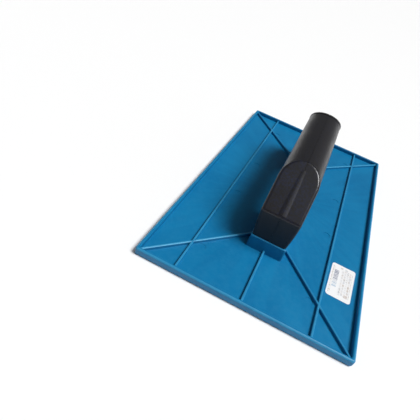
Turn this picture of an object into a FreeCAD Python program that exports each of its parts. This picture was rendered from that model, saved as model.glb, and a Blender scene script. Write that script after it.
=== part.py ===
import FreeCAD, Part
import math
import os

# Plasterer's hand float: a ribbed plastic plate with a hollow bow handle clamped on two pedestals.
# Frame: origin in the middle of the working face, which lies on z = 0. +Y runs along the plate
# and the handle, +X across them, +Z up through the handle. Millimetres.

V = FreeCAD.Vector

# ---- driving dimensions: plate ----
PLATE_LENGTH = 300.0          # along Y
PLATE_WIDTH = 165.0           # along X
PLATE_HEIGHT = 6.2            # working face to rim top
FLOOR = 2.0                   # thickness of the web of the plate
RIM = 3.0                     # width of the raised rim
CORNER_RADIUS = 2.4           # plate corners in plan
INNER_CORNER_RADIUS = 1.0     # corners of the floor inside the rim
FACE_EDGE_RADIUS = 1.2        # rounding round the working face
RIM_OUTER_RADIUS = 1.6        # rounding along the top of the rim, outside
RIM_INNER_RADIUS = 1.2        # and inside

RIB_WIDTH = 1.8
RIB_TOP = 4.6                 # height of the rib tops above the working face
RIB_ROUND = 0.7               # rounding along the rib tops
RIB_OVERLAP = 0.4             # ribs run this far into the rim
SIDE_RIB_X = 51.5             # the two long side ribs
DIAGONAL_AIM_Y = 59.0         # where the diagonal ribs would cross the centre line

EJECTOR_RADIUS = 3.5          # shallow round ejector marks on the ribbed side
EJECTOR_DEPTH = 0.3
EJECTOR_X = 44.0
EJECTOR_Y = (115.0, 30.0)

GATE_OUTER_RADIUS = 8.8       # ring-shaped gate mark in the middle of the working face
GATE_INNER_RADIUS = 4.6
GATE_DEPTH = 0.6
GATE_NUB_SINK = 0.2           # the nub inside the ring stays this far below the face

# ---- driving dimensions: handle and its pedestals ----
HANDLE_HALF_LENGTH = 89.0     # front of each leg, from the middle of the plate
LEG_DEPTH = 44.0              # along Y, at the foot
SEAT = 14.0                   # pedestal top, where the legs stand
CREASE = 40.0                 # the legs' vertical ends turn into the sloping ends here
END_SLOPE = math.radians(43.3)   # of the sloping ends, from level
HANDLE_TOP = 72.2
FOOT_HALF_WIDTH = 14.1        # legs' half width at the seat
HANDLE_HALF_WIDTH = 16.2      # legs' half width from the crease up
CROWN = 13.6                  # rise of the elliptical crown above the widest line
LIP_STEP = 0.3                # the legs' outer band stands this far proud of the grip
LIP_WIDTH = 2.8
GAP_TOP = 45.0                # underside of the grip
GAP_CORNER_RADIUS = 13.0
GAP_LEAN = 2.0                # the legs' inner faces lean together by this much towards the grip
GRIP_EDGE_RADIUS = 9.0        # rounding of the grip's lower edges and the legs' inner edges
CREASE_RADIUS = 3.0
END_EDGE_RADIUS = 2.4         # rounding round the ends of the handle
WALL = 2.8
BEAD_WIDTH = 6.5              # low swelling along the joint, on the sloping ends
BEAD_HEIGHT = 0.4
BEAD_FADE = 0.3               # it sinks by this much towards its upper end
BEAD_START = 1.5              # from the crease, up the slope
BEAD_STOP = 7.0               # short of the top of the slope
JOINT_WIDTH = 0.4             # fine groove where the two shells meet
JOINT_DEPTH = 0.4

PEDESTAL_LEDGE = 1.0          # the pedestal shows this much all round the leg's foot
PEDESTAL_CORNER = 1.6
PEDESTAL_WALL = 2.4
PEDESTAL_DRAFT = 0.3          # the base is this much larger on each side
PEDESTAL_ROUND = 0.8          # rounding along its top edge
CORE_CORNER = 1.0             # corners of the pocket inside it
CORE_RIB_DROP = 2.0           # the ribs in the pocket stop this far below the seat

STEM_WIDTH = 8.0              # upright tongue of the pedestal that the shells close around
STEM_LENGTH = 24.0
HEAD_WIDTH = 13.0
HEAD_BOTTOM = 27.4
HEAD_TOP = 32.0
SHELF_BOTTOM = 23.6           # shelf inside each leg, caught under the head of the tongue
SHELF_TOP = 27.2
FIT = 0.2                     # clearance between the tongue and the shells

BOSS_RADIUS = 4.0             # bosses with pins that line up the two shells
PIN_RADIUS = 1.9
PIN_LENGTH = 6.0
PIN_CLEARANCE = 0.1
BOSS_PLACES = ((-66.0, 42.0), (-24.0, 58.0), (24.0, 58.0), (66.0, 42.0))

LABEL_WIDTH = 20.0
LABEL_LENGTH = 38.6
LABEL_THICKNESS = 0.15
LABEL_CORNER = 2.5
LABEL_CENTRE = (64.7, -79.8)
LABEL_TURN = -1.5             # degrees, stuck on slightly askew

BIG = 400.0                   # larger than the whole object
NEAR = 1e-3                   # tolerance when edges are picked by place

# ---- derived ----
LEG_CENTRE = HANDLE_HALF_LENGTH - LEG_DEPTH / 2
LEG_INNER = HANDLE_HALF_LENGTH - LEG_DEPTH
WIDEST = HANDLE_TOP - CROWN


def box(x0, x1, y0, y1, z0, z1):
    """A box between two corners."""
    return Part.makeBox(x1 - x0, y1 - y0, z1 - z0, V(x0, y0, z0))


def rounded_box(half_x, half_y, z0, z1, radius):
    """A box centred on the Z axis with rounded vertical edges."""
    solid = box(-half_x, half_x, -half_y, half_y, z0, z1)
    upright = [e for e in solid.Edges if abs(e.Vertexes[0].Z - e.Vertexes[-1].Z) > 1e-6]
    return solid.makeFillet(radius, upright)


def outline_face(corners):
    """A flat face from corners (point, radius), each corner rounded by a tangent arc."""
    count = len(corners)
    runs = []
    for i, (point, radius) in enumerate(corners):
        back = (corners[i - 1][0] - point).normalize()
        ahead = (corners[(i + 1) % count][0] - point).normalize()
        if radius <= 0:
            runs.append((point, None, point))
            continue
        half_angle = back.getAngle(ahead) / 2
        reach = radius / math.tan(half_angle)
        centre = point + (back + ahead).normalize() * (radius / math.sin(half_angle))
        middle = centre + (point - centre).normalize() * radius
        runs.append((point + back * reach, middle, point + ahead * reach))
    edges = []
    for i, (start, middle, end) in enumerate(runs):
        if middle is not None:
            edges.append(Part.Arc(start, middle, end).toShape())
        edges.append(Part.LineSegment(end, runs[(i + 1) % count][0]).toShape())
    return Part.Face(Part.Wire(edges))


def edges_on(solid, keep):
    """The edges whose middle point passes the test."""
    return [e for e in solid.Edges if keep(e.valueAt((e.FirstParameter + e.LastParameter) / 2))]


def rib(x0, y0, x1, y1):
    """One rib of the plate between two points, with its top edges rounded."""
    length = math.hypot(x1 - x0, y1 - y0)
    bar = box(0, length, -RIB_WIDTH / 2, RIB_WIDTH / 2, FLOOR / 2, RIB_TOP)
    bar = bar.makeFillet(RIB_ROUND, edges_on(bar, lambda p: p.z > RIB_TOP - NEAR and abs(p.y) > NEAR))
    bar.rotate(V(0, 0, 0), V(0, 0, 1), math.degrees(math.atan2(y1 - y0, x1 - x0)))
    bar.translate(V(x0, y0, 0))
    return bar


def pedestal_outline(grow, z):
    """A level cut through the pedestal's outer walls."""
    half_x = FOOT_HALF_WIDTH + PEDESTAL_LEDGE + grow
    half_y = LEG_DEPTH / 2 + PEDESTAL_LEDGE + grow
    around = ((-1, -1), (1, -1), (1, 1), (-1, 1))
    return outline_face([(V(sx * half_x, sy * half_y, z), PEDESTAL_CORNER) for sx, sy in around]).OuterWire


def tongue():
    """The upright T-headed tongue that the two shells of the handle close around."""
    half_y = STEM_LENGTH / 2
    half_stem = STEM_WIDTH / 2
    half_head = HEAD_WIDTH / 2
    shoulder = HEAD_TOP - (half_head - half_stem)
    stem = box(-half_stem, half_stem, -half_y, half_y, FLOOR / 2, HEAD_TOP)
    outline = ((-half_head, HEAD_BOTTOM), (half_head, HEAD_BOTTOM), (half_head, shoulder),
               (half_stem, HEAD_TOP), (-half_stem, HEAD_TOP), (-half_head, shoulder))
    head = outline_face([(V(x, -half_y, z), 0) for x, z in outline])
    return stem.fuse(head.extrude(V(0, STEM_LENGTH, 0)))


def pedestal():
    """One pedestal, centred on the Z axis: a cored box with ribs and a tongue standing in it."""
    block = Part.makeLoft([pedestal_outline(PEDESTAL_DRAFT, FLOOR / 2), pedestal_outline(0.0, SEAT)], True)
    block = block.makeFillet(PEDESTAL_ROUND, edges_on(block, lambda p: p.z > SEAT - NEAR))
    core_x = FOOT_HALF_WIDTH + PEDESTAL_LEDGE - PEDESTAL_WALL
    core_y = LEG_DEPTH / 2 + PEDESTAL_LEDGE - PEDESTAL_WALL
    block = block.cut(rounded_box(core_x, core_y, FLOOR, SEAT + 1, CORE_CORNER))
    half_rib = RIB_WIDTH / 2
    rib_top = SEAT - CORE_RIB_DROP
    cross = box(-core_x - NEAR, core_x + NEAR, -half_rib, half_rib, FLOOR / 2, rib_top)
    spine = box(-half_rib, half_rib, -core_y - NEAR, core_y + NEAR, FLOOR / 2, rib_top)
    return block.multiFuse([tongue(), cross, spine])


def tray():
    """The flat plate with its raised rim."""
    half_x = PLATE_WIDTH / 2
    half_y = PLATE_LENGTH / 2
    plate = rounded_box(half_x, half_y, 0, PLATE_HEIGHT, CORNER_RADIUS)
    plate = plate.makeFillet(FACE_EDGE_RADIUS, edges_on(plate, lambda p: p.z < NEAR))
    plate = plate.makeFillet(RIM_OUTER_RADIUS, edges_on(plate, lambda p: p.z > PLATE_HEIGHT - NEAR))
    inner_x = half_x - RIM
    inner_y = half_y - RIM
    plate = plate.cut(rounded_box(inner_x, inner_y, FLOOR, PLATE_HEIGHT + 1, INNER_CORNER_RADIUS))

    def inner_top(p):
        return p.z > PLATE_HEIGHT - NEAR and abs(p.x) < inner_x + NEAR and abs(p.y) < inner_y + NEAR

    return plate.makeFillet(RIM_INNER_RADIUS, edges_on(plate, inner_top))


def rib_network():
    """Three ribs along the plate and four from its corners to the pedestals."""
    reach_x = PLATE_WIDTH / 2 - RIM + RIB_OVERLAP
    reach_y = PLATE_LENGTH / 2 - RIM + RIB_OVERLAP
    slope = (reach_y - DIAGONAL_AIM_Y) / reach_x
    start_x = FOOT_HALF_WIDTH - PEDESTAL_WALL / 2
    start_y = DIAGONAL_AIM_Y + slope * start_x
    ribs = [rib(x, -reach_y, x, reach_y) for x in (-SIDE_RIB_X, 0.0, SIDE_RIB_X)]
    for sx in (-1, 1):
        for sy in (-1, 1):
            ribs.append(rib(sx * start_x, sy * start_y, sx * reach_x, sy * reach_y))
    network = ribs[0].multiFuse(ribs[1:])
    half_x = FOOT_HALF_WIDTH
    for near_y in (LEG_INNER, -HANDLE_HALF_LENGTH):
        network = network.cut(box(-half_x, half_x, near_y, near_y + LEG_DEPTH, FLOOR + NEAR, RIB_TOP + 1))
    return network


def base_plate():
    """The one-piece plate: tray, ribs, pedestals and the marks of its mould."""
    plate = tray().fuse(rib_network())
    for sy in (-1, 1):
        stand = pedestal()
        stand.translate(V(0, sy * LEG_CENTRE, 0))
        plate = plate.fuse(stand)
    for x in (-EJECTOR_X, EJECTOR_X):
        for y in EJECTOR_Y:
            for sy in (-1, 1):
                mark = Part.makeCylinder(EJECTOR_RADIUS, 1.0, V(x, sy * y, FLOOR - EJECTOR_DEPTH))
                plate = plate.cut(mark)
    ring = Part.makeCylinder(GATE_OUTER_RADIUS, GATE_DEPTH + 1, V(0, 0, -1))
    ring = ring.cut(Part.makeCylinder(GATE_INNER_RADIUS, GATE_DEPTH + 2, V(0, 0, -1)))
    sink = Part.makeCylinder(GATE_INNER_RADIUS + 0.1, GATE_NUB_SINK + 1, V(0, 0, -1))
    return plate.cut(ring).cut(sink).removeSplitter()


def cross_section(inset, step, bottom):
    """The handle's section across Y: tapering flanks, straight sides and an elliptical crown."""
    half = HANDLE_HALF_WIDTH - step - inset
    foot = FOOT_HALF_WIDTH - step - inset
    rise = CROWN - step - inset
    drop = half - foot
    flank_radius = ((CREASE - SEAT) ** 2 + drop ** 2) / (2 * drop)
    flank_z = (SEAT + CREASE) / 2
    flank = half - flank_radius + math.sqrt(flank_radius ** 2 - (CREASE - flank_z) ** 2)
    crown = Part.Ellipse(V(half, 0, WIDEST), V(0, 0, WIDEST + rise), V(0, 0, WIDEST))
    arch = Part.Arc(crown, 0, math.pi).toShape()
    right = Part.Arc(V(foot, 0, SEAT), V(flank, 0, flank_z), V(half, 0, CREASE)).toShape()
    left = Part.Arc(V(-half, 0, CREASE), V(-flank, 0, flank_z), V(-foot, 0, SEAT)).toShape()
    edges = [right,
             Part.LineSegment(V(half, 0, CREASE), V(half, 0, WIDEST)).toShape(),
             arch,
             Part.LineSegment(V(-half, 0, WIDEST), V(-half, 0, CREASE)).toShape(),
             left]
    if bottom < SEAT:
        edges += [Part.LineSegment(V(-foot, 0, SEAT), V(-foot, 0, bottom)).toShape(),
                  Part.LineSegment(V(-foot, 0, bottom), V(foot, 0, bottom)).toShape(),
                  Part.LineSegment(V(foot, 0, bottom), V(foot, 0, SEAT)).toShape()]
    else:
        edges += [Part.LineSegment(V(-foot, 0, SEAT), V(foot, 0, SEAT)).toShape()]
    return Part.Face(Part.Wire(Part.__sortEdges__(edges)))


def end_outline(inset):
    """Side-view points of one end, from the foot up: vertical, then sloping to above the top."""
    front = -HANDLE_HALF_LENGTH + inset
    turn = CREASE - inset * (1 - math.sin(END_SLOPE)) / math.cos(END_SLOPE)
    above = HANDLE_TOP + 10.0
    return V(0, front, 0), V(0, front, turn), V(0, front + (above - turn) / math.tan(END_SLOPE), above)


def mirrored(points):
    """The same side-view points at the other end of the handle, in reverse order."""
    return [V(p.x, -p.y, p.z) for p in reversed(points)]


def bow(inset, bottom):
    """The bow of the handle, shrunk by inset all round: the body for 0, its cavity for the wall."""
    section = cross_section(inset, LIP_STEP, bottom)
    section.translate(V(0, -BIG / 2, 0))
    solid = section.extrude(V(0, BIG, 0))
    near = list(end_outline(inset))
    side = outline_face([(p, 0) for p in near + mirrored(near)])
    side.translate(V(-BIG / 2, 0, 0))
    solid = solid.common(side.extrude(V(BIG, 0, 0)))
    reach = LEG_INNER + inset
    top = GAP_TOP + inset
    low = bottom - 5.0
    gap = outline_face([(V(0, -reach, low), 0),
                        (V(0, -reach + GAP_LEAN, top), GAP_CORNER_RADIUS + inset),
                        (V(0, reach - GAP_LEAN, top), GAP_CORNER_RADIUS + inset),
                        (V(0, reach, low), 0)])
    gap.translate(V(-BIG / 2, 0, 0))
    solid = solid.cut(gap.extrude(V(BIG, 0, 0)))

    def on_gap_edge(p):
        inside = abs(p.y) < reach + NEAR and p.z < top + NEAR
        return inside and abs(p.x) > FOOT_HALF_WIDTH - inset - LIP_STEP - NEAR and p.z > bottom + NEAR

    return solid.makeFillet(GRIP_EDGE_RADIUS - inset, edges_on(solid, on_gap_edge))


def end_band(sign):
    """The band that stands proud round one end of the handle."""
    section = cross_section(0, 0, SEAT)
    section.translate(V(0, -BIG / 2, 0))
    solid = section.extrude(V(0, BIG, 0))
    outer = list(end_outline(0))
    inner = list(end_outline(LIP_WIDTH))
    strip = outline_face([(p, 0) for p in outer + inner[::-1]])
    strip.translate(V(-BIG / 2, 0, 0))
    band = solid.common(strip.extrude(V(BIG, 0, 0)))
    if sign > 0:
        band = band.mirror(V(0, 0, 0), V(0, 1, 0))
    return band


def bead(sign):
    """The low rounded bead along the joint of the two shells, on one sloping end."""
    span = (HANDLE_TOP - CREASE) / math.sin(END_SLOPE) - BEAD_START - BEAD_STOP
    radius = ((BEAD_WIDTH / 2) ** 2 + BEAD_HEIGHT ** 2) / (2 * BEAD_HEIGHT)
    rod = Part.makeCylinder(radius, span, V(0, BEAD_START, BEAD_HEIGHT - radius), V(0, span, -BEAD_FADE))
    slab = box(-BEAD_WIDTH, BEAD_WIDTH, 0, 2 * span, -WALL / 4, BEAD_HEIGHT + 1)
    bar = rod.common(slab)
    bar.rotate(V(0, 0, 0), V(1, 0, 0), math.degrees(END_SLOPE))
    bar.translate(V(0, -HANDLE_HALF_LENGTH, CREASE))
    if sign > 0:
        bar = bar.mirror(V(0, 0, 0), V(0, 1, 0))
    return bar


def shelf(sign):
    """The shelf inside one leg, with the slot that the pedestal's tongue passes through."""
    y = sign * LEG_CENTRE
    half_x = HANDLE_HALF_WIDTH - WALL
    half_y = LEG_DEPTH / 2 - WALL
    plate = box(-half_x, half_x, y - half_y, y + half_y, SHELF_BOTTOM, SHELF_TOP)
    slot = box(-STEM_WIDTH / 2 - FIT, STEM_WIDTH / 2 + FIT, y - STEM_LENGTH / 2 - FIT,
               y + STEM_LENGTH / 2 + FIT, SHELF_BOTTOM - 1, SHELF_TOP + 1)
    return plate.cut(slot)


def whole_handle():
    """Both shells as one: the hollow bow with its bands, beads, shelves and bosses."""
    skin = bow(0.0, SEAT)
    for sign in (-1, 1):
        skin = skin.fuse(end_band(sign))
    skin = skin.removeSplitter()

    def on_crease(p):
        return abs(abs(p.y) - HANDLE_HALF_LENGTH) < NEAR and abs(p.z - CREASE) < NEAR

    def round_the_slope(p):
        depth = (HANDLE_HALF_LENGTH - abs(p.y)) * math.sin(END_SLOPE) - (p.z - CREASE) * math.cos(END_SLOPE)
        return abs(depth) < NEAR and p.z > CREASE + 1.0

    # rounding the crease first makes one smooth chain of the edges above and below it
    skin = skin.makeFillet(CREASE_RADIUS, edges_on(skin, on_crease))
    skin = skin.makeFillet(END_EDGE_RADIUS, edges_on(skin, round_the_slope))
    cavity = bow(WALL, SEAT - 10.0)
    fillings = [shelf(-1), shelf(1)]
    for y, z in BOSS_PLACES:
        start = V(-HANDLE_HALF_WIDTH, y, z)
        fillings.append(Part.makeCylinder(BOSS_RADIUS, 2 * HANDLE_HALF_WIDTH, start, V(1, 0, 0)))
    inside = [f.common(cavity) for f in fillings]
    groove = box(-JOINT_WIDTH / 2, JOINT_WIDTH / 2, -BIG / 2, BIG / 2, SEAT, BIG)
    groove = groove.cut(bow(JOINT_DEPTH, SEAT - 1.0))
    hollow = skin.cut(cavity).cut(groove)
    return hollow.multiFuse([bead(-1), bead(1)] + inside)


def shells():
    """The two half shells: pins on the left one, sockets in the right one."""
    both = whole_handle()
    left = both.common(box(-BIG / 2, 0, -BIG / 2, BIG / 2, 0, BIG))
    right = both.common(box(0, BIG / 2, -BIG / 2, BIG / 2, 0, BIG))
    socket_radius = PIN_RADIUS + PIN_CLEARANCE
    for y, z in BOSS_PLACES:
        left = left.fuse(Part.makeCylinder(PIN_RADIUS, PIN_LENGTH + 1, V(-1, y, z), V(1, 0, 0)))
        right = right.cut(Part.makeCylinder(socket_radius, PIN_LENGTH + 1, V(-0.5, y, z), V(1, 0, 0)))
    return left.removeSplitter(), right.removeSplitter()


def label_sticker():
    """The paper sticker on the floor of the plate, beside the handle."""
    sheet = rounded_box(LABEL_WIDTH / 2, LABEL_LENGTH / 2, FLOOR, FLOOR + LABEL_THICKNESS, LABEL_CORNER)
    sheet.rotate(V(0, 0, 0), V(0, 0, 1), LABEL_TURN)
    sheet.translate(V(LABEL_CENTRE[0], LABEL_CENTRE[1], 0))
    return sheet


def main():
    left, right = shells()
    parts = {
        "base_plate": base_plate(),
        "handle_left_shell": left,
        "handle_right_shell": right,
        "label_sticker": label_sticker(),
    }
    os.makedirs("parts", exist_ok=True)
    for name, shape in parts.items():
        solids = shape.Solids
        size = shape.BoundBox
        print(name, "solids", len(solids), "valid", shape.isValid(), "volume", round(shape.Volume, 1),
              "size", round(size.XLength, 2), round(size.YLength, 2), round(size.ZLength, 2))
        body = solids[0] if len(solids) == 1 else shape
        body.exportStep("parts/" + name + ".step")


main()
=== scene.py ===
import math

import bmesh
import bpy
from mathutils import Matrix, Vector


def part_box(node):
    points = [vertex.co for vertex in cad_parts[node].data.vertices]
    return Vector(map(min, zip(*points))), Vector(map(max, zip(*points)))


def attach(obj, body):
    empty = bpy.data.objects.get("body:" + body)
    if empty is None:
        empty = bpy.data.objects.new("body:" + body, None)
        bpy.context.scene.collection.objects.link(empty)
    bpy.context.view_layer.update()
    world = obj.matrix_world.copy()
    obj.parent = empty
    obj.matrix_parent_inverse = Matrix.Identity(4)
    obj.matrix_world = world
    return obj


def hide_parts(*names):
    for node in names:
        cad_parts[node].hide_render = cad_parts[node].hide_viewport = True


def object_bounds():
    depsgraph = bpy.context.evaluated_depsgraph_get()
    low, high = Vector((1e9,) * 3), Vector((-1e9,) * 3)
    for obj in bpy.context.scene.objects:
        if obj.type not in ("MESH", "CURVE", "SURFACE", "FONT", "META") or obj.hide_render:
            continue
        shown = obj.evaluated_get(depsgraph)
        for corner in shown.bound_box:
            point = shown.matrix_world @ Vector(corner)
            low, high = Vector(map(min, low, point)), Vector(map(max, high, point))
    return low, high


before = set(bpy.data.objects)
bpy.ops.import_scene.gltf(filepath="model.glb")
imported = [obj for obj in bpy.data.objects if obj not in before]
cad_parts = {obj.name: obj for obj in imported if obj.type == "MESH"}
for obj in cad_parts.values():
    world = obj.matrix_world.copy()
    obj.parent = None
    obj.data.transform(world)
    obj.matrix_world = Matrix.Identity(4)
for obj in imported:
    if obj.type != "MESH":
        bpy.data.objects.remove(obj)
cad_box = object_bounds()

# Plasterer's hand float: the CAD plate and handle shells get their moulded plastics here, and the
# paper sticker is built as its own thin, slightly lifted sheet. Materials work in millimetres.
MM = 0.001

# ---- camera ----
AIM = Vector((-56.0, -68.4, 0.0)) * MM     # where the view axis meets the floor
DISTANCE = 338.4 * MM
AZIMUTH = math.radians(10.60)              # looking along +Y, turned towards -X
ELEVATION = math.radians(38.69)
ROLL = math.radians(19.58)                 # the camera is held tilted
LENS = 33.75
SENSOR = 36.0                              # width
CLIP_START = 10.0 * MM

# ---- light ----
SUN_AZIMUTH = math.radians(2.0)            # from +X, turned towards +Y
SUN_ELEVATION = math.radians(60.0)
SUN_SPREAD = math.radians(26.0)            # as wide as a large soft box close by
SUN_STRENGTH = 2.9
# directions in the room are points of a unit sphere: X to the right, Y beyond the float, Z up
PANEL = 2.5                                # brightness of the pale panel overhead, to the right
PANEL_BOTTOM = (0.74, 0.84)                # it fades in between these heights
PANEL_LEFT = (-0.20, 0.75)                 # and between these places from left to right
PANEL_FRONT = (-0.72, -0.46)               # and between these places from front to back
PANEL_BACK = (0.25, 0.42)                  # and out again between these, further back
ROOM_LOW = 0.55                            # brightness of the room at the horizon
ROOM_HIGH = 0.12                           # and overhead
ROOM_TURN = 0.80                           # height where it has faded
ROOM_ENDS = 0.25                           # share of it that is left in front and beyond
ROOM_SIDES = (0.1, 0.75)                   # it fades to that share between these places along Y
FLOOR_WHITE = 0.91
FLOOR_ROUGH = 0.9
FLOOR_REACH = 6000.0 * MM                  # from the middle of the floor to its edges
FLOOR_DROP = 0.2 * MM                      # how far the floor lies under the working face

# ---- colours, linear ----
BLUE_DEEP = (0.0029, 0.151, 0.343)
BLUE_FRESH = (0.0043, 0.187, 0.396)
BLUE_WORN = (0.024, 0.225, 0.430)
PAINTED_HIGHLIGHT_BLUE = (0.055, 0.340, 0.580)        # painted highlight along the rib tops and the outer rim edge, where light catches them
BLACK_DEEP = (0.0155, 0.0150, 0.0160)
BLACK_DUSTY = (0.0160, 0.0195, 0.0400)
PAPER_WHITE = (0.86, 0.865, 0.875)
PAPER_FIBRE = (0.70, 0.69, 0.67)
INK_GREY = (0.30, 0.31, 0.36)
INK_BROWN = (0.36, 0.24, 0.16)
INK_BLUE = (0.10, 0.12, 0.22)
INK_PALE = (0.34, 0.48, 0.62)

# ---- label ----
LABEL_LENGTH = 38.6 * MM
LABEL_WIDTH = 20.0 * MM
LABEL_CORNER = 2.5 * MM
LABEL_THICKNESS = 0.12 * MM
LABEL_TURN = math.radians(-1.5)
LABEL_GAP = 0.01 * MM                      # under the sheet
LABEL_WAVE = 0.02 * MM                     # half height of the sheet's waves
WAVE_ACROSS = 520.0                        # radians per metre across the label
WAVE_ALONG = 310.0                         # and along it
CORNER_LIFT = 0.55 * MM                    # how far one corner has come up
CORNER_REACH = 9.0 * MM                    # and how far from it the sheet is bent
LABEL_ACROSS = 24                          # faces across the sheet
LABEL_ALONG = 48                           # and along it

# ---- print on the label, in millimetres ----
# rows of dashes: length of a word, distance between rows, gap between words, seed
BODY_ROWS = (3.4, 2.1, 0.30, 3.1)
FOOT_ROWS = (2.4, 1.6, 0.26, 7.7)
HEAD_ROWS = (1.7, 4.0, 0.20, 3.0)
# where they are: low x, high x, low y, high y
BODY_AREA = (-1.4, 8.2, -15.0, 14.6)
FOOT_AREA = (-8.6, -7.1, -16.0, 16.2)
HEAD_AREA = (-6.8, -3.1, -8.5, 12.0)
# how dark they are
BODY_SHARE = 0.60
FOOT_SHARE = 0.75
HEAD_SHARE = 0.95
BLOCK_SHARE = 0.35
LABEL_BLOCKS = (                           # small plain blocks: an area and an ink
    ((4.2, 7.0, -15.2, -12.0), INK_BROWN),
    ((-2.4, -0.4, 15.2, 17.2), INK_BROWN),
    ((1.4, 3.8, 15.0, 17.0), INK_GREY),
)
PRINT_EDGE = 0.12                          # softness of the edges of an area
STROKES_ALONG = 3.2                        # how quickly the strokes change along a row, per millimetre
STROKES_ACROSS = 0.9                       # and across the rows
HEAD_TURN = (-6.0, 2.0)                    # the head's ink turns from pale to blue between these y

# ---- plate, in millimetres ----
HALF_WIDTH = cad_box[1][0] / MM
HALF_LENGTH = cad_box[1][1] / MM
RIM_EDGE = (1.7, 1.3)                      # the outer rim edge begins this far in from the sides
RIM_TOP = (4.8, 5.4)                       # and the painted highlight on it starts at these heights
SIDE_RIB_X = 51.5                          # where the two side ribs run
RIB_SIDE = (1.4, 2.4)                      # past this distance from its middle a rib has ended
RIB_TOP_IN = (4.0, 4.35)                   # rib tops get the painted highlight from these heights
RIB_TOP_OUT = (4.65, 4.9)                  # up to these
TOP_FACING = (0.2, 0.7)                    # and where they face upwards by this much
STRAIGHT_HIGHLIGHT = 0.42                        # how strong the painted highlight is on the side and middle ribs
# the painted highlight on the diagonal ribs: least and most, and the product of X and Y at which it is
# most, or least if negative
DIAGONAL_HIGHLIGHT = (0.25, 1.0)
HIGHLIGHT_TURN = 200.0
RIM_HIGHLIGHT = 0.5                              # how strong the painted highlight is on the outer rim edge
SCUFF_TURNS = (0.12, -0.35, 1.2)           # directions of the scuffs, in radians from the length
SCUFF_ACROSS = 1.6                         # how quickly they change across, per millimetre
SCUFF_ALONG = 0.02                         # and along
SCUFF_APART = 40.0                         # keeps the directions from sharing one pattern
SCUFF_TOP = (0.3, 1.2)                     # they are only on the working face, below these heights

# ---- sloping ends of the handle, in millimetres ----
# from the middle of the float to the front of a leg
END_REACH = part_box("handle_left_shell")[1][1] / MM
CREASE = 40.0                              # height where the slope begins
END_SLOPE = math.radians(43.3)
END_DEPTH = (0.1, 1.4)                     # surface deeper than this is no longer the sloping end

# ---- patterns: sizes and depths in millimetres, roughness and specular level from 0 to 1 ----
BLUE_CLOUD = 55.0
BLUE_MOTTLE = 3.2
FLOW_ROUND = 14.0                          # how quickly the flow lines change round the gate
FLOW_OUT = 0.02                            # and away from it, per millimetre
BLUE_PEEL = 5.0
BLUE_PEEL_DEPTH = 0.04
BLUE_GRAIN = 0.7
BLUE_GRAIN_DEPTH = 0.018
SCUFF_DEPTH = 0.01
BLUE_ROUGH = (0.31, 0.36)
BLUE_ROUGH_MOTTLE = (-0.02, 0.04)          # added to it from spot to spot
SCUFF_ROUGH = 0.15                         # and in the scuffs
BLUE_SPECULAR = 0.38
BLACK_CLOUD = 16.0
BLACK_CELL = 0.95
BLACK_GRAIN = 0.5
BLACK_GRAIN_DEPTH = 0.02
BLACK_LEATHER = 1.8
BLACK_LEATHER_DEPTH = 0.04
BLACK_ROUGH = (0.34, 0.40)
END_SMOOTH = 0.14                          # taken off it on the sloping ends
BLACK_SPECULAR = 0.4
PAPER_GRAIN = 0.4
PAPER_GRAIN_DEPTH = 0.006
PAPER_ROUGH = (0.50, 0.62)
PAPER_SPECULAR = 0.35
INK_PATCH = 5.0                            # patches of one ink in the dashes


def make_camera():
    """The camera, held close to the object and tilted, so that the handle leans to the right."""
    data = bpy.data.cameras.new("camera")
    data.lens = LENS
    data.sensor_width = SENSOR
    data.clip_start = CLIP_START
    camera = bpy.data.objects.new("camera", data)
    bpy.context.scene.collection.objects.link(camera)
    ahead = Vector((-math.sin(AZIMUTH) * math.cos(ELEVATION),
                    math.cos(AZIMUTH) * math.cos(ELEVATION),
                    -math.sin(ELEVATION)))
    turn = ahead.to_track_quat("-Z", "Y").to_matrix() @ Matrix.Rotation(ROLL, 3, "Z")
    camera.matrix_world = Matrix.Translation(AIM - ahead * DISTANCE) @ turn.to_4x4()
    bpy.context.scene.camera = camera


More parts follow.
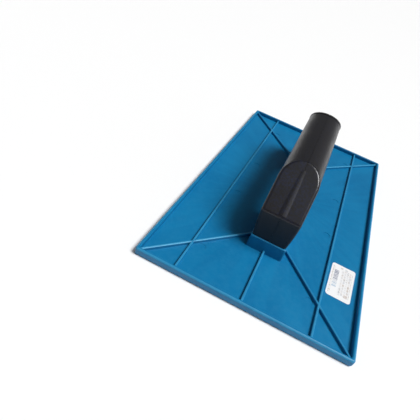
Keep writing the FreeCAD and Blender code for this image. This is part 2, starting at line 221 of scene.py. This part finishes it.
# ---- node trees ----
class Graph:
    """Short calls that add nodes to the tree of a material or of the world."""

    def __init__(self, owner, shader):
        owner.use_nodes = True
        self.tree = owner.node_tree
        self.shader = self.tree.nodes[shader]

    def feed(self, socket, value):
        """Links an output to a socket, or sets its value."""
        if isinstance(value, bpy.types.NodeSocket):
            self.tree.links.new(value, socket)
        elif isinstance(value, tuple) and len(value) == 3 and socket.type == "RGBA":
            socket.default_value = (*value, 1.0)
        else:
            socket.default_value = value

    def add(self, kind, inputs, **settings):
        """A node with its settings and inputs."""
        node = self.tree.nodes.new("ShaderNode" + kind)
        for name, value in settings.items():
            setattr(node, name, value)
        for key, value in inputs.items():
            self.feed(node.inputs[key], value)
        return node

    def place(self):
        """Where the surface point is on the object, in millimetres."""
        where = self.add("TexCoord", {}).outputs["Object"]
        return self.add("VectorMath", {0: where, "Scale": 1 / MM}, operation="SCALE").outputs["Vector"]

    def split(self, vector):
        """The three parts of a vector."""
        node = self.add("SeparateXYZ", {"Vector": vector})
        return node.outputs["X"], node.outputs["Y"], node.outputs["Z"]

    def join(self, x, y, z):
        """A vector made of three parts."""
        return self.add("CombineXYZ", {"X": x, "Y": y, "Z": z}).outputs["Vector"]

    def math(self, operation, first, second=0.0):
        """A sum, product or the like of two values."""
        return self.add("Math", {0: first, 1: second}, operation=operation).outputs["Value"]

    def noise(self, vector, size, detail=2.0, rough=0.5):
        """Soft noise with lumps about size across."""
        inputs = {"Vector": vector, "Scale": 1 / size, "Detail": detail, "Roughness": rough}
        return self.add("TexNoise", inputs).outputs["Fac"]

    def fade(self, value, low, high, start=0.0, end=1.0):
        """start below low, end above high, and a smooth change between."""
        inputs = {"Value": value, "From Min": low, "From Max": high, "To Min": start, "To Max": end}
        return self.add("MapRange", inputs, interpolation_type="SMOOTHSTEP").outputs["Result"]

    def mix(self, factor, first, second):
        """A blend of two colours: the first at factor 0, the second at 1."""
        node = self.add("Mix", {}, data_type="RGBA")
        for socket, value in ((node.inputs[0], factor), (node.inputs[6], first), (node.inputs[7], second)):
            self.feed(socket, value)
        return node.outputs[2]

    def bump(self, height, depth, below=None):
        """Relief of depth millimetres, on top of other relief."""
        inputs = {"Height": height, "Distance": depth * MM, "Strength": 1.0}
        if below is not None:
            inputs["Normal"] = below
        return self.add("Bump", inputs).outputs["Normal"]


def new_finish(name):
    """A material and the calls that add its nodes."""
    finish = bpy.data.materials.new(name)
    return finish, Graph(finish, "Principled BSDF")


# ---- light and floor ----
def make_sun():
    """The key light: a soft source high on the right."""
    data = bpy.data.lights.new("key_light", "SUN")
    data.energy = SUN_STRENGTH
    data.angle = SUN_SPREAD
    light = bpy.data.objects.new("key_light", data)
    towards = Vector((math.cos(SUN_AZIMUTH) * math.cos(SUN_ELEVATION),
                      math.sin(SUN_AZIMUTH) * math.cos(SUN_ELEVATION),
                      math.sin(SUN_ELEVATION)))
    light.rotation_euler = (-towards).to_track_quat("-Z", "Y").to_euler()
    bpy.context.scene.collection.objects.link(light)


def make_room():
    """The room: dim, darker before and beyond the float, with a pale panel overhead to the right."""
    world = bpy.data.worlds.new("studio")
    g = Graph(world, "Background")
    x, y, z = g.split(g.add("TexCoord", {}).outputs["Generated"])
    walls = g.fade(z, 0.0, ROOM_TURN, ROOM_LOW, ROOM_HIGH)
    walls = g.math("MULTIPLY", walls, g.fade(g.math("ABSOLUTE", y), *ROOM_SIDES, 1.0, ROOM_ENDS))
    panel = g.math("MULTIPLY", g.fade(x, *PANEL_LEFT, 0.0, PANEL), g.fade(z, *PANEL_BOTTOM))
    panel = g.math("MULTIPLY", panel, g.fade(y, *PANEL_FRONT))
    panel = g.math("MULTIPLY", panel, g.fade(y, *PANEL_BACK, 1.0, 0.0))
    g.feed(g.shader.inputs["Color"], (1.0, 1.0, 1.0))
    g.feed(g.shader.inputs["Strength"], g.math("ADD", walls, panel))
    bpy.context.scene.world = world
    bpy.context.scene.view_settings.view_transform = "Standard"


def make_floor():
    """A plain white floor just under the working face."""
    corners = [(x * FLOOR_REACH, y * FLOOR_REACH, 0.0) for x, y in ((-1, -1), (1, -1), (1, 1), (-1, 1))]
    mesh = bpy.data.meshes.new("floor")
    mesh.from_pydata(corners, [], [(0, 1, 2, 3)])
    floor = bpy.data.objects.new("floor", mesh)
    floor.location.z = -FLOOR_DROP
    bpy.context.scene.collection.objects.link(floor)
    finish, g = new_finish("floor_paper")
    g.feed(g.shader.inputs["Base Color"], (FLOOR_WHITE, FLOOR_WHITE, FLOOR_WHITE))
    g.feed(g.shader.inputs["Roughness"], FLOOR_ROUGH)
    mesh.materials.append(finish)


# ---- materials ----
def blue_plastic():
    """Satin moulded polypropylene: cloudy blue, faint flow lines from the gate, a fine etched grain."""
    finish, g = new_finish("blue_plastic")
    place = g.place()
    x, y, z = g.split(place)
    clouds = g.noise(place, BLUE_CLOUD)
    mottle = g.noise(place, BLUE_MOTTLE, 3.0, 0.65)
    # flow lines: noise that changes quickly round the gate and slowly away from it
    radius = g.math("SQRT", g.math("ADD", g.math("MULTIPLY", x, x), g.math("MULTIPLY", y, y)))
    round_gate = g.join(g.math("MULTIPLY", g.math("DIVIDE", x, radius), FLOW_ROUND),
                        g.math("MULTIPLY", g.math("DIVIDE", y, radius), FLOW_ROUND),
                        g.math("MULTIPLY", radius, FLOW_OUT))
    flow = g.noise(round_gate, 1.0)
    tone = g.math("ADD", g.fade(clouds, 0.3, 0.7, 0.0, 0.6), g.fade(flow, 0.35, 0.65, 0.0, 0.4))
    colour = g.mix(tone, BLUE_DEEP, BLUE_FRESH)
    colour = g.mix(g.fade(mottle, 0.35, 0.75, 0.0, 0.22), colour, BLUE_WORN)
    # painted highlight: paler along the rib tops, and a little round the outside of the rim, where light
    # catches the rounded edges
    upward = g.split(g.add("TexCoord", {}).outputs["Normal"])[2]
    tops = g.math("MULTIPLY", g.fade(z, *RIB_TOP_IN), g.fade(z, *RIB_TOP_OUT, 1.0, 0.0))
    tops = g.math("MULTIPLY", tops, g.fade(upward, *TOP_FACING))
    # the painted highlight is even on the side and middle ribs, and on the diagonal ones strongest towards
    # two opposite corners
    far_x = g.math("ABSOLUTE", x)
    from_rib = g.math("MINIMUM", far_x, g.math("ABSOLUTE", g.math("SUBTRACT", far_x, SIDE_RIB_X)))
    askew = g.fade(from_rib, *RIB_SIDE)
    corners = g.fade(g.math("MULTIPLY", x, y), -HIGHLIGHT_TURN, HIGHLIGHT_TURN, *DIAGONAL_HIGHLIGHT)
    diagonal = g.math("MULTIPLY", askew, corners)
    straight = g.math("MULTIPLY", g.math("SUBTRACT", 1.0, askew), STRAIGHT_HIGHLIGHT)
    tops = g.math("MULTIPLY", tops, g.math("ADD", diagonal, straight))
    sides = g.fade(far_x, HALF_WIDTH - RIM_EDGE[0], HALF_WIDTH - RIM_EDGE[1])
    ends = g.fade(g.math("ABSOLUTE", y), HALF_LENGTH - RIM_EDGE[0], HALF_LENGTH - RIM_EDGE[1])
    outside = g.math("MULTIPLY", g.math("MAXIMUM", sides, ends), g.fade(z, *RIM_TOP))
    outside = g.math("MULTIPLY", outside, RIM_HIGHLIGHT)
    # the painted highlight on rib tops and the rim edge is mixed into the base colour here
    painted_highlight = g.math("MULTIPLY", g.math("MAXIMUM", tops, outside), g.fade(mottle, 0.25, 0.6, 0.7, 1.0))
    colour = g.mix(painted_highlight, colour, PAINTED_HIGHLIGHT_BLUE)
    # scuffs on the working face: long fine streaks, along the float and askew
    scuffs = 0.0
    for turn in SCUFF_TURNS:
        sine, cosine = math.sin(turn), math.cos(turn)
        along = g.math("ADD", g.math("MULTIPLY", x, sine), g.math("MULTIPLY", y, cosine))
        across = g.math("SUBTRACT", g.math("MULTIPLY", x, cosine), g.math("MULTIPLY", y, sine))
        path = g.join(g.math("MULTIPLY", across, SCUFF_ACROSS),
                      g.math("MULTIPLY", along, SCUFF_ALONG),
                      turn * SCUFF_APART)
        scuffs = g.math("MAXIMUM", scuffs, g.fade(g.noise(path, 1.0), 0.66, 0.74))
    scuffs = g.math("MULTIPLY", scuffs, g.fade(z, *SCUFF_TOP, 1.0, 0.0))
    colour = g.mix(g.math("MULTIPLY", scuffs, 0.35), colour, BLUE_WORN)
    g.feed(g.shader.inputs["Base Color"], colour)
    rough = g.fade(clouds, 0.3, 0.7, *BLUE_ROUGH)
    rough = g.math("ADD", rough, g.fade(mottle, 0.3, 0.7, *BLUE_ROUGH_MOTTLE))
    rough = g.math("ADD", rough, g.math("MULTIPLY", scuffs, SCUFF_ROUGH))
    g.feed(g.shader.inputs["Roughness"], rough)
    g.feed(g.shader.inputs["Specular IOR Level"], BLUE_SPECULAR)
    peel = g.bump(g.noise(place, BLUE_PEEL), BLUE_PEEL_DEPTH)
    grain = g.bump(g.noise(place, BLUE_GRAIN), BLUE_GRAIN_DEPTH, peel)
    g.feed(g.shader.inputs["Normal"], g.bump(scuffs, -SCUFF_DEPTH, grain))
    return finish


def black_plastic():
    """Moulded plastic with a leathery etched grain, dustier and smoother on the sloping ends."""
    finish, g = new_finish("black_plastic")
    place = g.place()
    y, z = g.split(place)[1:]
    # depth behind the plane of the nearer sloping end: 0 on that face, and more on the grip
    run = g.math("MULTIPLY", g.math("SUBTRACT", END_REACH, g.math("ABSOLUTE", y)), math.sin(END_SLOPE))
    rise = g.math("MULTIPLY", g.math("SUBTRACT", z, CREASE), math.cos(END_SLOPE))
    ends = g.fade(g.math("SUBTRACT", run, rise), *END_DEPTH, 1.0, 0.0)
    cells = g.add("TexVoronoi", {"Vector": place, "Scale": 1 / BLACK_CELL}, feature="SMOOTH_F1")
    cells = g.math("MULTIPLY", cells.outputs["Distance"], 0.6)
    grain = g.math("ADD", g.noise(place, BLACK_GRAIN, 3.0, 0.6), cells)
    clouds = g.noise(place, BLACK_CLOUD, 3.0, 0.6)
    leather = g.noise(place, BLACK_LEATHER, 3.0, 0.65)
    dust = g.math("MULTIPLY", g.fade(clouds, 0.3, 0.7, 0.35, 1.0), g.fade(leather, 0.36, 0.66))
    dust = g.math("MULTIPLY", dust, g.fade(ends, 0.0, 1.0, 0.35, 1.0))
    g.feed(g.shader.inputs["Base Color"], g.mix(dust, BLACK_DEEP, BLACK_DUSTY))
    rough = g.fade(clouds, 0.3, 0.7, *BLACK_ROUGH)
    rough = g.math("SUBTRACT", rough, g.math("MULTIPLY", ends, END_SMOOTH))
    g.feed(g.shader.inputs["Roughness"], rough)
    g.feed(g.shader.inputs["Specular IOR Level"], BLACK_SPECULAR)
    grain = g.math("MULTIPLY", grain, g.fade(ends, 0.0, 1.0, 0.55, 1.0))
    relief = g.bump(grain, BLACK_GRAIN_DEPTH)
    g.feed(g.shader.inputs["Normal"], g.bump(leather, BLACK_LEATHER_DEPTH, relief))
    return finish


def label_paper():
    """White sticker paper with rows of plain dashes, one bold row of bars and a few plain blocks."""
    finish, g = new_finish("label_paper")
    place = g.place()
    x, y = g.split(place)[:2]
    fibre = g.noise(place, PAPER_GRAIN, 3.0, 0.7)
    paper = g.mix(g.fade(fibre, 0.3, 0.8, 0.0, 0.10), PAPER_WHITE, PAPER_FIBRE)

    def inside(low_x, high_x, low_y, high_y):
        """1 within a rectangle of the label and 0 outside it, with soft edges."""
        mask = 1.0
        for value, low, high in ((x, low_x, high_x), (y, low_y, high_y)):
            past_low = g.fade(value, low - PRINT_EDGE, low + PRINT_EDGE)
            before_high = g.fade(value, high - PRINT_EDGE, high + PRINT_EDGE, 1.0, 0.0)
            mask = g.math("MULTIPLY", g.math("MULTIPLY", mask, past_low), before_high)
        return mask

    def rows(word, pitch, gap, seed):
        """Rows of dashes that run along Y, with words of uneven darkness."""
        path = g.join(g.math("ADD", y, seed), g.math("ADD", x, seed), 0.0)
        tones = {"Color1": (0.30, 0.30, 0.30), "Color2": (1.0, 1.0, 1.0), "Mortar": (0.0, 0.0, 0.0)}
        sizes = {"Scale": 1.0, "Brick Width": word, "Row Height": pitch, "Mortar Size": gap}
        brick = g.add("TexBrick", {"Vector": path, **tones, **sizes, "Mortar Smooth": 0.1},
                      offset=0.37, offset_frequency=2, squash=0.7, squash_frequency=3)
        strokes = g.join(g.math("MULTIPLY", y, STROKES_ALONG), g.math("MULTIPLY", x, STROKES_ACROSS), seed)
        return g.math("MULTIPLY", brick.outputs["Color"], g.fade(g.noise(strokes, 1.0), 0.36, 0.46))

    body = g.math("MULTIPLY", rows(*BODY_ROWS), inside(*BODY_AREA))
    foot = g.math("MULTIPLY", rows(*FOOT_ROWS), inside(*FOOT_AREA))
    head = g.math("MULTIPLY", rows(*HEAD_ROWS), inside(*HEAD_AREA))
    head_ink = g.mix(g.fade(y, *HEAD_TURN), INK_PALE, INK_BLUE)
    body_ink = g.mix(g.fade(g.noise(place, INK_PATCH, 1.0), 0.45, 0.6), INK_GREY, INK_BROWN)
    colour = g.mix(g.math("MULTIPLY", body, BODY_SHARE), paper, body_ink)
    colour = g.mix(g.math("MULTIPLY", foot, FOOT_SHARE), colour, INK_BROWN)
    colour = g.mix(g.math("MULTIPLY", head, HEAD_SHARE), colour, head_ink)
    for area, ink in LABEL_BLOCKS:
        colour = g.mix(g.math("MULTIPLY", inside(*area), BLOCK_SHARE), colour, ink)
    g.feed(g.shader.inputs["Base Color"], colour)
    g.feed(g.shader.inputs["Roughness"], g.fade(fibre, 0.3, 0.7, *PAPER_ROUGH))
    g.feed(g.shader.inputs["Specular IOR Level"], PAPER_SPECULAR)
    g.feed(g.shader.inputs["Normal"], g.bump(fibre, PAPER_GRAIN_DEPTH))
    return finish


# ---- label ----
def label_lift(x, y):
    """How far the sheet stands off the plate: tiny waves, and one corner that has come up."""
    wave = LABEL_WAVE * (1 + math.sin(x * WAVE_ACROSS + 0.4) * math.cos(y * WAVE_ALONG + 1.1))
    corner = Vector((LABEL_WIDTH / 2, LABEL_LENGTH / 2))
    away = (corner - Vector((x, y))).length
    peel = max(0.0, 1 - away / CORNER_REACH)
    return wave + CORNER_LIFT * peel ** 2


def make_label():
    """The sticker: one closed thin sheet with round corners."""
    half_x = LABEL_WIDTH / 2
    half_y = LABEL_LENGTH / 2
    form = bmesh.new()
    sheets = []
    for height in (0.0, LABEL_THICKNESS):
        grid = []
        for j in range(LABEL_ALONG + 1):
            y = -half_y * math.cos(math.pi * j / LABEL_ALONG)
            past = max(0.0, abs(y) - (half_y - LABEL_CORNER))
            width = half_x - LABEL_CORNER + math.sqrt(max(0.0, LABEL_CORNER ** 2 - past ** 2))
            row = []
            for i in range(LABEL_ACROSS + 1):
                x = -width * math.cos(math.pi * i / LABEL_ACROSS)
                row.append(form.verts.new((x, y, label_lift(x, y) + height)))
            grid.append(row)
        sheets.append(grid)
    bottom, top = sheets
    for j in range(LABEL_ALONG):
        for i in range(LABEL_ACROSS):
            form.faces.new((top[j][i], top[j][i + 1], top[j + 1][i + 1], top[j + 1][i]))
            form.faces.new((bottom[j][i], bottom[j + 1][i], bottom[j + 1][i + 1], bottom[j][i + 1]))
    for j in range(LABEL_ALONG):
        form.faces.new((bottom[j][0], top[j][0], top[j + 1][0], bottom[j + 1][0]))
        form.faces.new((bottom[j][-1], bottom[j + 1][-1], top[j + 1][-1], top[j][-1]))
    for i in range(LABEL_ACROSS):
        form.faces.new((bottom[0][i], bottom[0][i + 1], top[0][i + 1], top[0][i]))
        form.faces.new((bottom[-1][i], top[-1][i], top[-1][i + 1], bottom[-1][i + 1]))
    mesh = bpy.data.meshes.new("label_sheet")
    form.to_mesh(mesh)
    form.free()
    label = bpy.data.objects.new("label_sheet", mesh)
    low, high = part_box("label_sticker")
    label.location = ((low[0] + high[0]) / 2, (low[1] + high[1]) / 2, low[2] + LABEL_GAP)
    label.rotation_euler.z = LABEL_TURN
    bpy.context.scene.collection.objects.link(label)
    mesh.materials.append(label_paper())
    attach(label, "root")
    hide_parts("label_sticker")


make_camera()
make_sun()
make_room()
make_floor()
plate_finish = blue_plastic()
handle_finish = black_plastic()
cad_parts["base_plate"].material_slots[0].material = plate_finish
for shell in ("handle_left_shell", "handle_right_shell"):
    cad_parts[shell].material_slots[0].material = handle_finish
make_label()
